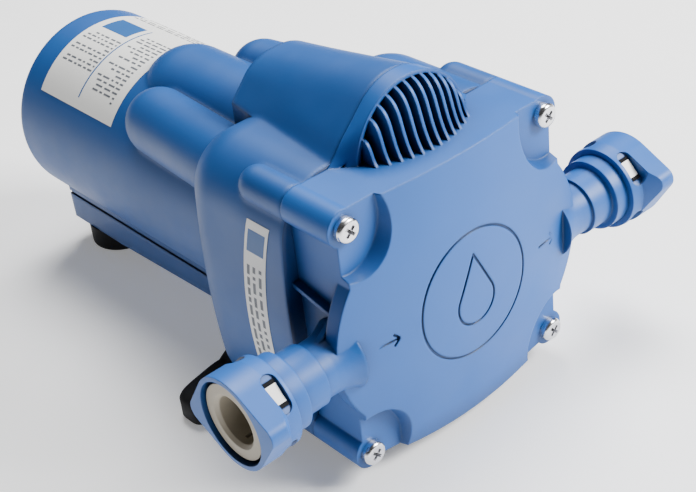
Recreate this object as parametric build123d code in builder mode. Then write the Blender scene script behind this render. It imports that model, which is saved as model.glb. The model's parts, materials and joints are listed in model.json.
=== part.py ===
from build123d import *
import os
from math import cos, radians, sin, sqrt, tan

os.makedirs("parts", exist_ok=True)

# Caravan water pump, in millimetres. X is the port axis, inlet at -X and outlet at +X.
# Y is the motor axis with the pump head at -Y. Z is up and zero is under the rubber feet.

# Overall size and main axes
pump_length = 213.0
port_spread = 171.0
axis_height = 52.4
motor_shell_r = 36.0
cover_depth = 20.0
port_setback = 3.5
port_drop = 2.4
overrun = 1.0
touch_gap = 0.05
body_gap = 0.35

# Push-fit port, radii about the port axis and distances from the middle of the pump
pipe_r = 7.5
pipe_clearance = 0.15
water_r = 5.0
neck_r = 9.0
neck_root_r = 11.5
neck_root_x = 44.0
neck_flare_x = 53.0
neck_end_x = 57.2
sleeve_r = 10.0
pipe_stop_x = 60.0
sleeve_end_x = 66.0
socket_r = 12.2
socket_bore_r = 10.8
socket_end_x = 79.5
seal_seat_x = 66.6
window_x = 75.3
window_length = 3.9
window_width = 8.4
pocket_length = 5.0
pocket_width = 12.5
pocket_floor_r = 12.9
collar_start_x = 71.5
collar_start_r = 14.2
collar_waist_x = 76.0
collar_waist_r = 14.8
mouth_wall = 1.5
rim_r = 15.8
ear_offset = 16.0
ear_tip_r = 4.0
ear_tilt = 15.0
ear_full_x = 80.5
mouth_floor_x = 80.2
o_ring_cord_r = 1.45
grab_ring_x = 70.6
grab_ring_thick = 0.5
grab_rim_r = 8.9
grab_tooth_width = 1.6
grab_tooth_length = 1.4
grab_teeth = 12
cartridge_start_x = 71.8
cartridge_bore_r = 9.6
tab_top_r = 13.2
collet_tube_r = 9.2
collet_start_x = 73.6
collet_flange_r = 12.1
collet_flange_thick = 2.0
collet_recess = 1.2
collet_lip = 1.1
collet_slot_width = 1.2
collet_slot_end_x = 81.0
collet_travel = 2.0
window_angles = (45, 135, 225, 315)

# Front cover
lug_r = 6.0
cover_half_width = 43.5
cover_extra_height = 2.7
screw_inset = 3.0
cover_bow_lift = 3.7
cover_bow_drop = 1.4
dome_rise = 8.5
dome_sphere_r = 235.0
dome_back = 2.0
dome_half_width = 51.0
dome_half_height = 44.0
dome_edge_r = 1.2
pad_half_width = 12.6
pad_half_height = 15.0
pad_flare_angle = 20.0
chamber_front = 3.2
valve_plate_front = 8.6
divider_r = 15.0
divider_wall = 2.0
divider_half_width = 8.0
valve_seal_thick = 1.0
ring_groove_r = 21.7
groove_width = 0.8
groove_depth = 0.6
drop_r = 8.0
drop_tip = 17.0
drop_shift = 3.0
arrow_x = 34.0
arrow_length = 8.0
arrow_head = 3.0
gusset_length = 10.5
gusset_height = 5.5
gusset_thick = 1.8
side_rib_reach = 2.6
side_rib_thick = 1.6
side_rib_rear_z = 16.3
side_rib_front_z = 12.6
cover_edge_wall = 1.3
seal_land = 1.2
seal_width = 2.2
seal_depth = 1.6

# Hood and grille above the head
hood_half_width = 25.5
hood_height = 20.4
hood_front_half_width = 21.6
hood_front_height = 20.2
hood_front_back = 14.0
hood_rear = 75.0
hood_rear_half_width = 19.5
hood_rear_height = 11.6
hood_rear_sink = 9.0
hood_wall = 2.5
hood_lip = 1.8
hood_sink = 2.4
grille_half_width = 20.3
grille_height = 19.0
fin_count = 12
fin_pitch = 3.4
fin_thick = 1.1
fin_front = 3.5
fin_bow_r = 32.0
fin_back = 16.5
hood_seam_shares = ((1.12, 0.0), (1.0, 0.113), (0.886, 0.28), (0.686, 0.52), (0.463, 0.79), (0.235, 0.951))
hood_front_shares = ((1.02, 0.0), (0.94, 0.342), (0.819, 0.574), (0.616, 0.788), (0.407, 0.914), (0.174, 0.985))
hood_rear_shares = ((1.02, 0.0), (0.93, 0.17), (0.8, 0.39), (0.65, 0.66), (0.45, 0.87), (0.23, 0.985))
fin_edge_shares = ((0.22, 0.2), (0.42, 0.55), (0.68, 0.88))

# Rear housing
body_overhang = 2.0
body_bow = 3.6
body_extra_height = 0.9
body_corner_r = 19.0
body_end = 72.5
shoulder_r = 16.0
shell_wall = 3.0
seam_flange = 5.4
flange_hole_gap = 0.4
flange_step = 2.4
motor_shell_wall = 2.8
shell_edge_r = 2.5
boss_length = 17.0
side_ridge_r = 12.0
side_ridge_front = 56.0
side_ridge_rear = 115.0
side_ridge_front_x = 29.5
side_ridge_front_z = 29.5
side_ridge_rear_x = 22.8
side_ridge_rear_z = 26.8
ridge_wall = 2.5
top_ridge_r = 19.0
top_ridge_front = 60.0
top_ridge_rear = 127.0
top_ridge_z = 22.6
skirt_half_width = 23.0
skirt_front = 60.0
skirt_rear_gap = 2.0
skirt_drop = 43.0
skirt_front_drop = 39.0
skirt_wall = 3.0
skirt_groove_drop = 31.5
skirt_groove_height = 1.4
skirt_pocket_front = 84.0
skirt_pocket_gap = 20.0
ear_x = 52.0
ear_back = 66.3
ear_half_width = 5.5
ear_top_drop = 43.0
ear_thick = 3.0
ear_root_x = 28.0

# Rubber feet
foot_r = 12.0
foot_edge_r = 1.2
foot_rim_height = 8.0
foot_crown_height = 20.0
foot_cuff_half_width = 8.0
foot_cuff_start = 4.5
foot_cuff_end = 15.0
foot_cuff_low = 17.0
foot_cuff_height = 23.0
foot_bolt_r = 2.6
rear_foot_gap = 16.0
rear_foot_length = 47.0
rear_foot_width = 25.0
rear_foot_peg_r = 3.0
rear_foot_peg_spread = 24.0
rear_foot_peg_height = 5.0

# Cover screws
screw_r = 2.0
screw_head_r = 4.0
screw_head_height = 2.8
screw_length = 33.0
screw_cross_width = 1.0
screw_cross_depth = 1.6

# Pump mechanism, distances behind the lug faces
valve_plate_back = 14.8
diaphragm_thick = 1.2
diaphragm_plate_thick = 3.4
drive_flange_thick = 3.0
stack_gap = 0.3
plate_ledge = 1.5
stack_rim = 2.5
piston_circle_r = 20.0
piston_count = 3
chamber_pocket_r = 11.0
chamber_pocket_depth = 4.1
diaphragm_roll_r = 10.4
diaphragm_cup_r = 9.6
diaphragm_pad_thick = 0.8
swash_angle = 3.0
piston_cap_r = 6.5
piston_cap_gap = 1.5
piston_cap_thick = 1.4
piston_stalk_r = 5.0
piston_screw_r = 1.5
piston_screw_head_r = 2.6
piston_screw_head_height = 1.0
piston_screw_end = 6.5
diaphragm_hole_r = 2.2
wobble_web_front = 9.0
wobble_web_back = 12.5
wobble_arm_r = 8.0
wobble_hub_r = 13.5
wobble_hub_end = 20.0
bearing_r = 11.0
bearing_bore_r = 4.0
bearing_race = 2.0
bearing_front = 12.9
bearing_back = 19.9
ball_r = 1.45
ball_count = 8
hub_front = 37.2
hub_back = 46.0
hub_r = 11.0
hub_shoulder_r = 5.6
set_screw_r = 1.5
valve_hole_r = 1.2
valve_hole_circle_r = 3.6
inlet_valve_r = 5.4
inlet_valve_thick = 0.8
valve_stem_r = 1.0
valve_holes = 4
outlet_hole_circle_r = 10.4
outlet_valve_r = 12.2
outlet_valve_thick = 1.0

# Drive housing and motor
drive_wall = 2.4
drive_plate_front = 47.5
drive_plate_back = 50.0
shaft_r = 3.0
shaft_front = 38.5
shaft_tail = 9.0
running_gap = 0.05
cushion_thick = 2.2
can_wall = 1.5
bell_thick = 3.0
bearing_seat_r = 8.0
bearing_cup_r = 10.0
bearing_length = 7.0
bearing_cup_length = 8.5
bell_spigot = 2.0
motor_tail = 34.0
magnet_bore_r = 23.0
magnet_arc = 140.0
magnet_overhang = 4.0
core_r = 22.2
core_front = 76.0
slot_count = 12
slot_width = 2.6
slot_depth = 6.5
winding_clearance = 0.1
winding_overhang = 10.0
winding_r = 19.0
winding_root_r = 5.0
commutator_r = 8.8
commutator_length = 14.0
commutator_gap = 2.0
commutator_tail = 5.0
commutator_groove = 0.6
brush_card_tail = 6.0
brush_card_thick = 2.5
brush_card_hole_r = 10.5
brush_length = 7.8
brush_height = 5.0
brush_width = 5.0
brush_tail = 15.6
brush_travel = 2.0
holder_start = 12.0
holder_end = 26.0
holder_wall = 1.2
brush_spring_r = 2.0
brush_wire_r = 0.35
brush_spring_turns = 5
motor_screw_r = 2.0
motor_screw_x = 18.0
motor_screw_head_r = 3.4
motor_screw_head_height = 1.6
cushion_front = 80.0
cushion_tail = 13.0
cushion_width = 8.0

# Pressure switch behind the grille
switch_lift = 13.5
switch_boss_r = 3.6
switch_boss_front = 11.0
nozzle_r = 2.0
nozzle_front = 14.0
sense_r = 1.0
sense_front = 5.4
duct_width = 4.4
switch_front = 26.0
switch_r = 9.0
switch_floor = 1.5
switch_split = 29.0
switch_rim = 1.4
switch_diaphragm_thick = 0.8
barrel_flange = 1.7
barrel_r = 7.0
barrel_bore_r = 5.6
barrel_end = 40.0
plunger_head_r = 5.0
plunger_head_thick = 1.3
plunger_stem_r = 1.5
plunger_gap = 0.6
plunger_end = 42.1
switch_travel = 0.8
adjuster_thick = 2.4
switch_spring_r = 3.3
switch_spring_wire = 0.45
switch_spring_turns = 4
button_r = 1.2
button_front = 42.45
button_length = 2.6
button_hole_r = 1.6
microswitch_front = 44.0
microswitch_length = 14.0
microswitch_width = 10.0
microswitch_height = 10.0
terminal_length = 5.0
terminal_width = 3.2
terminal_thick = 0.8
terminal_spread = 6.0
bracket_thick = 1.5
bracket_front = 32.0
bracket_half_width = 6.0

# Cable grommet in the rear wall
grommet_drop = 21.0
grommet_hole_r = 5.0
grommet_flange_r = 6.6
grommet_flange_thick = 1.5
grommet_bore_r = 2.6

# Stations worked out from the sizes above
front_y = -pump_length / 2
shell_end_y = pump_length / 2
port_y = front_y + ear_offset * cos(radians(ear_tilt)) + ear_tip_r
face_y = port_y - port_setback
seam_y = face_y + cover_depth
port_z = axis_height - port_drop
shell_back = shell_end_y - face_y
cover_half_height = cover_half_width + cover_extra_height
half_screw = cover_half_width - screw_inset
seal_groove_r = cover_half_width - cover_edge_wall - seal_width
plate_seat_r = seal_groove_r - seal_land
flange_hole_r = plate_seat_r + flange_hole_gap
stack_r = plate_seat_r - stack_gap
chamber_r = stack_r - plate_ledge
drive_tube_r = stack_r - stack_rim
switch_rise = drive_tube_r + switch_lift
body_half_height = cover_half_height + body_extra_height
motor_bore_r = motor_shell_r - motor_shell_wall
motor_r = motor_bore_r - cushion_thick
can_back = shell_back - motor_tail
shaft_back = can_back + shaft_tail
commutator_back = can_back - commutator_tail
commutator_front = commutator_back - commutator_length
winding_back = commutator_front - commutator_gap
core_back = winding_back - winding_overhang
brush_card_back = can_back - brush_card_tail
brush_front = can_back - brush_tail
cushion_rear = can_back - cushion_tail
rear_foot_back = shell_back - rear_foot_gap
skirt_rear = shell_back - skirt_rear_gap
skirt_pocket_rear = rear_foot_back - skirt_pocket_gap
ear_reach = ear_x + ear_half_width
mouth_x = port_spread / 2
collet_end_x = mouth_x - collet_recess
low = (Align.CENTER, Align.CENTER, Align.MIN)

motor_axis = Axis((0, 0, axis_height), (0, 1, 0))
port_axis = Axis((0, port_y, port_z), (1, 0, 0))
motor_profile = Plane(origin=(0, face_y, axis_height), x_dir=(0, 1, 0), z_dir=(1, 0, 0))
port_profile = Plane(origin=(0, port_y, port_z), x_dir=(1, 0, 0), z_dir=(0, -1, 0))


def across(back, x=0, z=0):
    """Plane square to the motor axis, facing forwards, a distance behind the lug faces."""
    return Plane(origin=(x, face_y + back, axis_height + z), x_dir=(1, 0, 0), z_dir=(0, -1, 0))


def lengthwise(x):
    """Upright plane along the motor axis: local x is +Y from the lug faces, local y is +Z."""
    return Plane(origin=(x, face_y, axis_height), x_dir=(0, 1, 0), z_dir=(1, 0, 0))


def square_to_port(x):
    """Plane square to the port axis: local x is +Y and local y is +Z."""
    return Plane(origin=(x, port_y, port_z), x_dir=(0, 1, 0), z_dir=(1, 0, 0))


def port_radial(angle):
    """Plane that faces outwards from the port axis, through the latch windows."""
    out = (0, -cos(radians(angle)), sin(radians(angle)))
    return Plane(origin=(window_x, port_y, port_z), x_dir=(1, 0, 0), z_dir=out)


def profile(start, end, inner, outer):
    """Rectangle of a turned profile, from start to end along the axis."""
    return Polygon((start, inner), (end, inner), (end, outer), (start, outer), align=None)


def four_corners(back):
    """Planes at the four screw positions."""
    return [across(back, x, z) for x in (-half_screw, half_screw) for z in (-half_screw, half_screw)]


def write(builder, name):
    """Name a finished piece and write it."""
    builder.part.label = name
    export_step(builder.part, "parts/" + name + ".step")


def write_pair(builder, outlet_name, inlet_name):
    """Write a piece of the outlet port and its mirror image for the inlet port."""
    write(builder, outlet_name)
    with BuildPart() as inlet_piece:
        mirror(builder.part, about=Plane.YZ)
    write(inlet_piece, inlet_name)


def cover_lines():
    """Side walls, flat top and bowed bottom of the cover."""
    top = Line((-half_screw, cover_half_height), (half_screw, cover_half_height))
    right = Polyline(top @ 1, (cover_half_width, half_screw), (cover_half_width, cover_bow_lift - cover_half_height))
    bow = ThreePointArc(right @ 1, (0, -cover_half_height - cover_bow_drop), (-cover_half_width, cover_bow_lift - cover_half_height))
    Polyline(bow @ 1, (-cover_half_width, half_screw), top @ 0)


def body_lines(inset):
    """Rounded outline of the body with bowed sides, drawn in from its outer face by a wall."""
    corner_x = cover_half_width + body_overhang - inset
    side_x = corner_x + body_bow
    rise = body_half_height - inset
    top = Line((-corner_x, rise), (corner_x, rise))
    right = ThreePointArc(top @ 1, (side_x, 0), (corner_x, -rise))
    bottom = Line(right @ 1, (-corner_x, -rise))
    ThreePointArc(bottom @ 1, (-side_x, 0), top @ 0)


def arch_lines(shares, half_width, height, sink):
    """Bell arch of the hood, from its feet up, closed below by a sunk base."""
    left = [(-across_share * half_width, up_share * height) for across_share, up_share in shares]
    right = [(-point[0], point[1]) for point in reversed(left)]
    arch = Spline(*left, (0, height), *right)
    down = Line(arch @ 1, (right[-1][0], -sink))
    base = Line(down @ 1, (left[0][0], -sink))
    Line(base @ 1, arch @ 0)


def keyhole():
    """Wall round the outlet water: a ring about the middle, open towards the outlet port."""
    Circle(divider_r)
    with Locations((chamber_r / 2, -port_drop)):
        Rectangle(chamber_r, divider_half_width * 2)
    Circle(divider_r - divider_wall, mode=Mode.SUBTRACT)
    with Locations((chamber_r / 2 + overrun, -port_drop)):
        Rectangle(chamber_r + overrun * 2, (divider_half_width - divider_wall) * 2, mode=Mode.SUBTRACT)
    Circle(chamber_r, mode=Mode.INTERSECT)


# Domed face of the front cover, with a flat pad cut round each screw
with BuildPart() as dome:
    with BuildSketch(across(dome_back)):
        with BuildLine():
            cover_lines()
        make_face()
        Ellipse(dome_half_width, dome_half_height)
    extrude(amount=dome_back + dome_rise + overrun)
    with Locations((0, face_y - dome_rise + dome_sphere_r, axis_height)):
        Sphere(dome_sphere_r, mode=Mode.INTERSECT)
    for pad in four_corners(0):
        with BuildSketch(pad):
            Ellipse(pad_half_width, pad_half_height)
        extrude(amount=dome_rise + overrun, taper=-pad_flare_angle, mode=Mode.SUBTRACT)

# Stepped necks and sockets of both ports
with BuildPart() as port_bodies:
    with BuildSketch(port_profile):
        with BuildLine():
            root = Line((neck_root_x, 0), (neck_root_x, neck_root_r))
            flare = TangentArc((neck_flare_x, neck_r), root @ 1, tangent=(-1, 0))
            Polyline(
                flare @ 0,
                (neck_end_x, neck_r),
                (neck_end_x, sleeve_r),
                (sleeve_end_x, sleeve_r),
                (sleeve_end_x, socket_r),
                (socket_end_x, socket_r),
                (socket_end_x, 0),
                root @ 0,
            )
        make_face()
    revolve(axis=port_axis)
    mirror(about=Plane.YZ)

# Water ways bored through both ports
with BuildPart() as port_bores:
    with BuildSketch(port_profile):
        profile(chamber_r - divider_wall * 3, pipe_stop_x + overrun, 0, water_r)
        profile(pipe_stop_x, seal_seat_x + overrun, 0, pipe_r + pipe_clearance * 2)
        profile(seal_seat_x, socket_end_x + overrun, 0, socket_bore_r)
    revolve(axis=port_axis)
    with Locations(*[port_radial(angle) for angle in window_angles]):
        Box(window_length, window_width, socket_r + overrun, align=low)
    mirror(about=Plane.YZ)

# Hood band that frames the grille, open from front to back
with BuildPart() as hood_front:
    with BuildSketch(across(cover_depth, z=cover_half_height)):
        with BuildLine():
            arch_lines(hood_seam_shares, hood_half_width, hood_height, hood_sink)
        make_face()
    with BuildSketch(across(hood_front_back, z=cover_half_height)):
        with BuildLine():
            arch_lines(hood_front_shares, hood_front_half_width, hood_front_height, hood_sink)
        make_face()
    loft()
    with BuildSketch(across(fin_back + touch_gap, z=cover_half_height)):
        Ellipse(grille_half_width, grille_height)
    extrude(amount=fin_back, mode=Mode.SUBTRACT)
    with BuildSketch(across(cover_depth + overrun, z=cover_half_height)):
        with BuildLine():
            arch_lines(hood_seam_shares, hood_half_width - hood_wall, hood_height - hood_lip, hood_sink * 2)
        make_face()
    extrude(amount=cover_depth + overrun - fin_back, mode=Mode.SUBTRACT)

# Curved fins of the grille
with BuildPart() as grille_fins:
    for index in range(fin_count):
        fin_x = (index - (fin_count - 1) / 2) * fin_pitch
        fin_top = cover_half_height + grille_height * sqrt(1 - (fin_x / grille_half_width) ** 2) + touch_gap
        fin_toe = fin_front + fin_x**2 / (2 * fin_bow_r)
        fin_base = cover_half_height - overrun
        edge_run = hood_front_back - fin_toe
        edge_rise = fin_top - cover_half_height
        with BuildSketch(lengthwise(fin_x)):
            with BuildLine():
                toe = (fin_toe, cover_half_height)
                middle = [(fin_toe + run * edge_run, cover_half_height + up * edge_rise) for run, up in fin_edge_shares]
                edge = Spline(toe, *middle, (hood_front_back, fin_top))
                Polyline(edge @ 1, (fin_back, fin_top), (fin_back, fin_base), (fin_toe, fin_base), edge @ 0)
            make_face()
        extrude(amount=fin_thick / 2, both=True)

# Front cover: head, ports, hood band and grille moulded in one piece
with BuildPart() as front_cover:
    with BuildSketch(across(cover_depth)):
        with BuildLine():
            cover_lines()
        make_face()
    extrude(amount=cover_depth)
    with Locations(*four_corners(cover_depth)):
        Cylinder(lug_r, cover_depth, align=low)
    add(dome.part)
    add(port_bodies.part)
    for side in (-1, 1):
        with BuildSketch(Plane(origin=(0, port_y, port_z), x_dir=(side, 0, 0), z_dir=(0, -side, 0))):
            foot = (cover_half_width - overrun, neck_r - overrun)
            peak = (cover_half_width - overrun, neck_r + gusset_height)
            crown = (cover_half_width + gusset_thick, neck_r + gusset_height)
            tail = (cover_half_width + gusset_length, neck_r - overrun)
            Polygon(foot, tail, crown, peak, align=None)
        extrude(amount=gusset_thick / 2, both=True)
        with BuildSketch(lengthwise(side * (cover_half_width - overrun))):
            Polygon(
                (cover_depth, side_rib_rear_z),
                (cover_depth, side_rib_rear_z - side_rib_thick),
                (port_setback, side_rib_front_z - side_rib_thick),
                (port_setback, side_rib_front_z),
                align=None,
            )
        extrude(amount=side * (side_rib_reach + overrun))
    add(hood_front.part)
    add(grille_fins.part)
    with Locations(across(cover_depth, z=switch_rise)):
        Cylinder(switch_boss_r, cover_depth - switch_boss_front, align=low)
    with BuildSketch(motor_profile):
        profile(-chamber_front, valve_plate_front + overrun, 0, chamber_r)
        profile(valve_plate_front, cover_depth + overrun, 0, plate_seat_r)
        profile(cover_depth - seal_depth, cover_depth + overrun, seal_groove_r, seal_groove_r + seal_width)
    revolve(axis=motor_axis, mode=Mode.SUBTRACT)
    with BuildSketch(across(valve_plate_front - valve_seal_thick)):
        keyhole()
    extrude(amount=valve_plate_front - valve_seal_thick + chamber_front)
    with Locations(across(sense_front, z=(divider_r + chamber_r) / 2)):
        Box(duct_width, chamber_r - divider_r + overrun, duct_width)
    add(port_bores.part, mode=Mode.SUBTRACT)
    with Locations(*four_corners(-overrun)):
        Cylinder(
            screw_r + touch_gap * 2,
            cover_depth + overrun * 2,
            align=(Align.CENTER, Align.CENTER, Align.MAX),
            mode=Mode.SUBTRACT,
        )
    with Locations(across(cover_depth, z=switch_rise)):
        Cylinder(nozzle_r + touch_gap, cover_depth - nozzle_front, align=low, mode=Mode.SUBTRACT)
    sense_start = Vector(0, face_y + nozzle_front + sense_r, axis_height + switch_rise)
    sense_turn = Vector(0, face_y + sense_front, axis_height + chamber_r)
    with Locations(Plane(origin=sense_start, z_dir=sense_turn - sense_start)):
        Cylinder(sense_r, (sense_turn - sense_start).length, align=low, mode=Mode.SUBTRACT)
    with Locations(Plane(origin=sense_turn, z_dir=(0, 0, -1))):
        Cylinder(sense_r, chamber_r - divider_r + divider_wall * 2, align=low, mode=Mode.SUBTRACT)
    with BuildSketch(across(-dome_rise + ring_groove_r**2 / (2 * dome_sphere_r) + groove_depth)):
        Circle(ring_groove_r + groove_width / 2)
        Circle(ring_groove_r - groove_width / 2, mode=Mode.SUBTRACT)
    extrude(amount=dome_rise, mode=Mode.SUBTRACT)
    with BuildSketch(across(-dome_rise + drop_tip**2 / (2 * dome_sphere_r) / 2 + groove_depth)):
        with Locations((0, -drop_shift)):
            Circle(drop_r)
        with Locations((0, drop_tip - drop_shift)):
            Circle(groove_width / 2)
        make_hull()
        offset(amount=-groove_width, mode=Mode.SUBTRACT)
    extrude(amount=dome_rise, mode=Mode.SUBTRACT)
    for arrow_centre in (-arrow_x, arrow_x):
        with BuildSketch(across(-dome_rise + arrow_x**2 / (2 * dome_sphere_r) + groove_depth)):
            with Locations((arrow_centre, 0)):
                Rectangle(arrow_length, groove_width)
            with Locations((arrow_centre + arrow_length / 2, 0)):
                for head_turn in (45, -45):
                    Rectangle(arrow_head, groove_width, rotation=head_turn, align=(Align.MAX, Align.CENTER))
        extrude(amount=dome_rise, mode=Mode.SUBTRACT)
write(front_cover, "front_cover")

# Rubber ring in the groove round the cover's rear face
with BuildPart() as cover_gasket:
    with BuildSketch(motor_profile):
        profile(cover_depth - seal_depth, cover_depth, seal_groove_r, seal_groove_r + seal_width)
    revolve(axis=motor_axis)
write(cover_gasket, "cover_gasket")

# Four pan-head screws that hold the cover
with BuildPart() as cover_screws:
    for spot in four_corners(0):
        with Locations(spot):
            Cylinder(screw_head_r, screw_head_height, align=low)
        with Locations(spot):
            Cylinder(screw_r, screw_length, align=(Align.CENTER, Align.CENTER, Align.MAX))
    rims = cover_screws.edges().filter_by(GeomType.CIRCLE).group_by(Axis.Y)[0]
    fillet(rims, screw_head_height / 2)
    for spot in four_corners(-screw_head_height):
        with BuildSketch(spot):
            for turn in (0, 90):
                Rectangle(screw_head_r, screw_cross_width, rotation=turn + 45)
        extrude(amount=-screw_cross_depth, mode=Mode.SUBTRACT)
write(cover_screws, "cover_screws")

# Rounded body of the rear housing with its soft rear shoulder
with BuildPart() as housing_form:
    with BuildSketch(across(cover_depth)) as body_outline:
        with BuildLine():
            body_lines(0)
        make_face()
        fillet(body_outline.vertices(), body_corner_r)
    extrude(amount=cover_depth - body_end)
    fillet(housing_form.faces().sort_by(Axis.Y)[-1].edges(), shoulder_r)

# Round shell over the motor
with BuildPart() as motor_shell:
    with BuildSketch(motor_profile):
        profile(skirt_front, shell_back, 0, motor_shell_r)
    revolve(axis=motor_axis)
    fillet(motor_shell.faces().sort_by(Axis.Y)[-1].edges(), shell_edge_r)

# Ridges that run from the body back onto the motor shell, as solids and as their hollows
ridge_lines = []
for side in (-1, 1):
    ridge_start = Vector(side * side_ridge_front_x, face_y + side_ridge_front, axis_height + side_ridge_front_z)
    ridge_end = Vector(side * side_ridge_rear_x, face_y + side_ridge_rear, axis_height + side_ridge_rear_z)
    ridge_lines.append((ridge_start, ridge_end, side_ridge_r))
top_start = Vector(0, face_y + top_ridge_front, axis_height + top_ridge_z)
top_end = Vector(0, face_y + top_ridge_rear, axis_height + top_ridge_z)
ridge_lines.append((top_start, top_end, top_ridge_r))
with BuildPart() as ridges:
    for start, end, radius in ridge_lines:
        with Locations(Plane(origin=start, z_dir=end - start)):
            Cylinder(radius, (end - start).length, align=low)
        with Locations(end):
            Sphere(radius)
with BuildPart() as ridge_hollows:
    for start, end, radius in ridge_lines:
        with Locations(Plane(origin=start, z_dir=end - start)):
            Cylinder(radius - ridge_wall, (end - start).length, align=low)
        with Locations(end):
            Sphere(radius - ridge_wall)

# Hump behind the grille, outside and inside
with BuildPart() as hump:
    with BuildSketch(across(cover_depth, z=cover_half_height)):
        with BuildLine():
            arch_lines(hood_seam_shares, hood_half_width, hood_height, hood_sink)
        make_face()
    with BuildSketch(across(hood_rear, z=cover_half_height)):
        with BuildLine():
            arch_lines(hood_rear_shares, hood_rear_half_width, hood_rear_height, hood_rear_sink)
        make_face()
    loft()
with BuildPart() as hump_hollow:
    with BuildSketch(across(cover_depth - touch_gap, z=cover_half_height)):
        with BuildLine():
            arch_lines(hood_seam_shares, hood_half_width - hood_wall, hood_height - hood_lip, hood_sink * 2)
        make_face()
    with BuildSketch(across(hood_rear - hood_wall, z=cover_half_height)):
        with BuildLine():
            arch_lines(hood_rear_shares, hood_rear_half_width - hood_wall, hood_rear_height - hood_lip, hood_sink * 2)
        make_face()
    loft()

# Room inside the body and the motor shell
with BuildPart() as housing_hollow:
    with BuildSketch(across(cover_depth + seam_flange)) as hollow_outline:
        with BuildLine():
            body_lines(shell_wall)
        make_face()
        fillet(hollow_outline.vertices(), body_corner_r - shell_wall)
    extrude(amount=cover_depth + seam_flange + shell_wall - body_end)
    fillet(housing_hollow.faces().sort_by(Axis.Y)[-1].edges(), shoulder_r - shell_wall)
    with BuildSketch(motor_profile):
        profile(cover_depth - overrun, cover_depth + flange_step, 0, flange_hole_r)
        profile(cover_depth, body_end, 0, drive_tube_r + body_gap)
        profile(skirt_front, shell_back - shell_wall, 0, motor_bore_r)
    revolve(axis=motor_axis)

# Rear housing: body, hump, ridges, motor shell, base ledge and the ears for the front feet
with BuildPart() as rear_housing:
    add(housing_form.part)
    add(motor_shell.part)
    add(ridges.part)
    add(hump.part)
    with BuildSketch(lengthwise(0)):
        Polygon(
            (skirt_front, 0),
            (skirt_front, -skirt_front_drop),
            (skirt_pocket_rear, -skirt_drop),
            (skirt_rear, -skirt_drop),
            (skirt_rear, 0),
            align=None,
        )
    extrude(amount=skirt_half_width, both=True)
    for side in (-1, 1):
        with Locations((side * ear_root_x, face_y + ear_back, axis_height - ear_top_drop)):
            Box(
                ear_reach - ear_root_x,
                ear_half_width * 2,
                ear_thick,
                align=(Align.MIN if side > 0 else Align.MAX, Align.CENTER, Align.MAX),
            )
    for spot in four_corners(cover_depth):
        with Locations(spot):
            Cylinder(lug_r, boss_length, align=(Align.CENTER, Align.CENTER, Align.MAX))
    for spot in four_corners(cover_depth + boss_length):
        with Locations(spot):
            Sphere(lug_r)
    add(housing_hollow.part, mode=Mode.SUBTRACT)
    add(hump_hollow.part, mode=Mode.SUBTRACT)
    add(ridge_hollows.part, mode=Mode.SUBTRACT)
    for spot in four_corners(cover_depth):
        with Locations(spot):
            Cylinder(lug_r - touch_gap, boss_length, align=(Align.CENTER, Align.CENTER, Align.MAX))
        with Locations(spot):
            Cylinder(
                screw_r + touch_gap,
                screw_length - cover_depth + overrun,
                align=(Align.CENTER, Align.CENTER, Align.MAX),
                mode=Mode.SUBTRACT,
            )
    pocket_middle = (skirt_pocket_front + skirt_pocket_rear) / 2
    with Locations((0, face_y + pocket_middle, axis_height - skirt_drop)):
        Box(
            (skirt_half_width - skirt_wall) * 2,
            skirt_pocket_rear - skirt_pocket_front,
            skirt_drop - motor_shell_r - skirt_groove_height,
            align=low,
            mode=Mode.SUBTRACT,
        )
    for side in (-1, 1):
        with Locations((side * skirt_half_width, face_y + shell_back / 2, axis_height - skirt_groove_drop)):
            Box(skirt_groove_height, shell_back + overrun, skirt_groove_height, mode=Mode.SUBTRACT)
        with Locations((side * ear_x, face_y + ear_back, axis_height - ear_top_drop)):
            Cylinder(foot_bolt_r, ear_thick * 3, mode=Mode.SUBTRACT)
        with Locations((side * rear_foot_peg_spread / 2, face_y + rear_foot_back, axis_height - skirt_drop)):
            Cylinder(
                rear_foot_peg_r + touch_gap,
                rear_foot_peg_height + body_gap,
                align=low,
                mode=Mode.SUBTRACT,
            )
    with Locations(across(shell_back, z=-grommet_drop)):
        Cylinder(grommet_hole_r, shell_wall * 2, mode=Mode.SUBTRACT)
        Cylinder(grommet_flange_r, grommet_flange_thick * 2, mode=Mode.SUBTRACT)
write(rear_housing, "rear_housing")

# Rubber boots of the front feet, moulded over the ears
with BuildPart() as front_foot:
    with Locations((-ear_x, face_y + ear_back, 0)):
        Cylinder(foot_r, foot_crown_height, align=low)
    foot_profile = Plane(origin=(-ear_x, face_y + ear_back, 0), x_dir=(-1, 0, 0), z_dir=(0, 1, 0))
    with BuildSketch(foot_profile):
        Polygon(
            (foot_r, 0),
            (foot_r, foot_rim_height),
            (-foot_r, foot_crown_height),
            (-foot_r, 0),
            align=None,
        )
    extrude(amount=foot_r + overrun, both=True, mode=Mode.INTERSECT)
    fillet(front_foot.edges().filter_by(GeomType.LINE, reverse=True), foot_edge_r)
    with BuildSketch(foot_profile):
        Polygon(
            (-foot_cuff_start, foot_rim_height),
            (-foot_cuff_start, foot_cuff_low),
            (-foot_cuff_end, foot_cuff_height),
            (-foot_cuff_end, foot_rim_height),
            align=None,
        )
    extrude(amount=foot_cuff_half_width, both=True)
    add(housing_form.part, mode=Mode.SUBTRACT)
    with Locations((-ear_root_x, face_y + ear_back, axis_height - ear_top_drop)):
        Box(
            ear_reach - ear_root_x,
            ear_half_width * 2,
            ear_thick,
            align=(Align.MAX, Align.CENTER, Align.MAX),
            mode=Mode.SUBTRACT,
        )
    with Locations((-ear_x, face_y + ear_back, -overrun)):
        Cylinder(foot_bolt_r, foot_crown_height + overrun * 2, align=low, mode=Mode.SUBTRACT)
write_pair(front_foot, "front_foot_left", "front_foot_right")

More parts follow.
